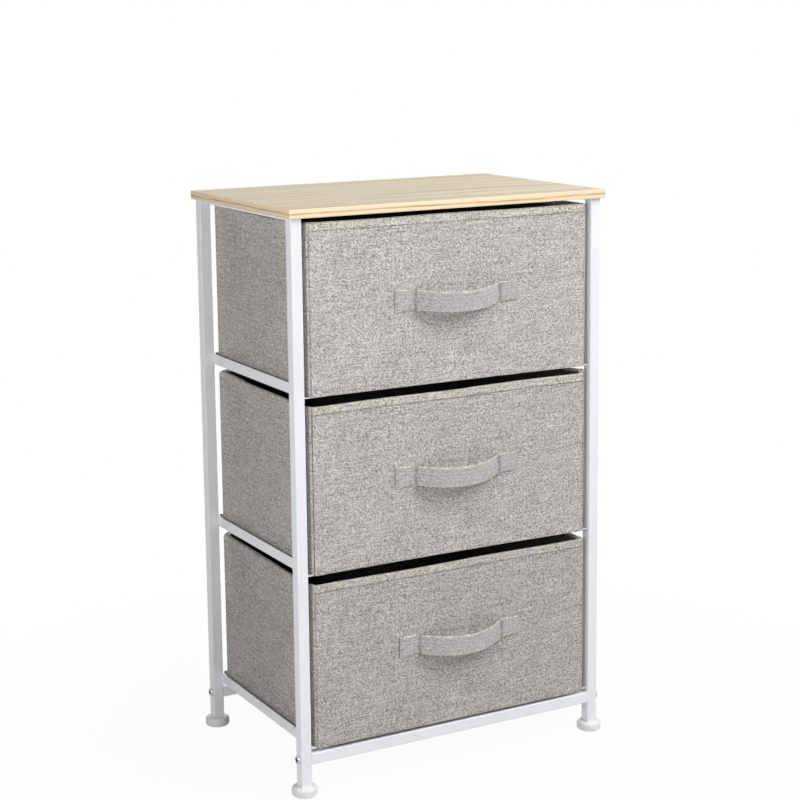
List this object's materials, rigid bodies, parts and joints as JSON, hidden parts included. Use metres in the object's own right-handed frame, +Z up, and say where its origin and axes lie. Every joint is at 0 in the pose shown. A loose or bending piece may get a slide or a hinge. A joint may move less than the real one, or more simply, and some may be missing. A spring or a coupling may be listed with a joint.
{
  "type": "nightstand",
  "caption": "Slim bedside stand: white square-tube frame on levelling feet, wood-look top, and soft cloth drawers with strap handles that slide out on angle runners.",
  "frame": {"origin": "on the floor under the middle of the whole box, feet and strap handles included", "axes": "+Z up, -Y to the front where the drawers come out, +X to the right seen from the front"},
  "size_m": [0.4596, 0.3168, 0.73],
  "materials": {
    "powder_white": "satin white powder coat",
    "oak_laminate": "matt light-oak laminate",
    "oak_edge": "matt light-oak edge band",
    "linen_cloth": "heathered light-grey linen-look cloth",
    "strap_webbing": "plain-woven pale-grey strap",
    "black_lining": "black non-woven lining",
    "fibre_board": "bare thin fibre board",
    "zinc_steel": "bright zinc plate",
    "white_plastic": "satin moulded white plastic"
  },
  "bodies": {
    "frame": {"post_front_left": "powder_white", "post_front_right": "powder_white", "post_rear_left": "powder_white", "post_rear_right": "powder_white", "cross_rail_front": "powder_white", "cross_rail_rear": "powder_white", "top_bar_left": "powder_white", "top_bar_right": "powder_white", "runner_bottom_left": "powder_white", "runner_bottom_right": "powder_white", "runner_middle_left": "powder_white", "runner_middle_right": "powder_white", "runner_top_left": "powder_white", "runner_top_right": "powder_white", "rail_bolts": "zinc_steel", "rail_plugs": "zinc_steel", "top_panel": "oak_laminate", "top_edge_band": "oak_edge", "top_screws": "zinc_steel", "foot_inserts": "white_plastic"},
    "drawer_bottom": {"drawer_bottom_cover": "linen_cloth", "drawer_bottom_lining": "black_lining", "drawer_bottom_front_board": "fibre_board", "drawer_bottom_rear_board": "fibre_board", "drawer_bottom_left_board": "fibre_board", "drawer_bottom_right_board": "fibre_board", "drawer_bottom_base_board": "fibre_board", "drawer_bottom_handle": "strap_webbing"},
    "drawer_middle": {"drawer_middle_cover": "linen_cloth", "drawer_middle_lining": "black_lining", "drawer_middle_front_board": "fibre_board", "drawer_middle_rear_board": "fibre_board", "drawer_middle_left_board": "fibre_board", "drawer_middle_right_board": "fibre_board", "drawer_middle_base_board": "fibre_board", "drawer_middle_handle": "strap_webbing"},
    "drawer_top": {"drawer_top_cover": "linen_cloth", "drawer_top_lining": "black_lining", "drawer_top_front_board": "fibre_board", "drawer_top_rear_board": "fibre_board", "drawer_top_left_board": "fibre_board", "drawer_top_right_board": "fibre_board", "drawer_top_base_board": "fibre_board", "drawer_top_handle": "strap_webbing"},
    "foot_front_left": {"foot_base_front_left": "white_plastic", "foot_stud_front_left": "zinc_steel"},
    "foot_front_right": {"foot_base_front_right": "white_plastic", "foot_stud_front_right": "zinc_steel"},
    "foot_rear_left": {"foot_base_rear_left": "white_plastic", "foot_stud_rear_left": "zinc_steel"},
    "foot_rear_right": {"foot_base_rear_right": "white_plastic", "foot_stud_rear_right": "zinc_steel"}
  },
  "joints": [
    {"name": "drawer_bottom_slide", "type": "slide", "parent": "frame", "child": "drawer_bottom", "axis": [0, -1, 0], "range_m": [0, 0.22]},
    {"name": "drawer_middle_slide", "type": "slide", "parent": "frame", "child": "drawer_middle", "axis": [0, -1, 0], "range_m": [0, 0.22]},
    {"name": "drawer_top_slide", "type": "slide", "parent": "frame", "child": "drawer_top", "axis": [0, -1, 0], "range_m": [0, 0.22]},
    {"name": "foot_front_left_turn", "type": "hinge", "parent": "frame", "child": "foot_front_left", "pos_m": [-0.21375, -0.12712, 0], "axis": [0, 0, 1], "continuous": true},
    {"name": "foot_front_right_turn", "type": "hinge", "parent": "frame", "child": "foot_front_right", "pos_m": [0.21375, -0.12712, 0], "axis": [0, 0, 1], "continuous": true},
    {"name": "foot_rear_left_turn", "type": "hinge", "parent": "frame", "child": "foot_rear_left", "pos_m": [-0.21375, 0.14238, 0], "axis": [0, 0, 1], "continuous": true},
    {"name": "foot_rear_right_turn", "type": "hinge", "parent": "frame", "child": "foot_rear_right", "pos_m": [0.21375, 0.14238, 0], "axis": [0, 0, 1], "continuous": true}
  ]
}
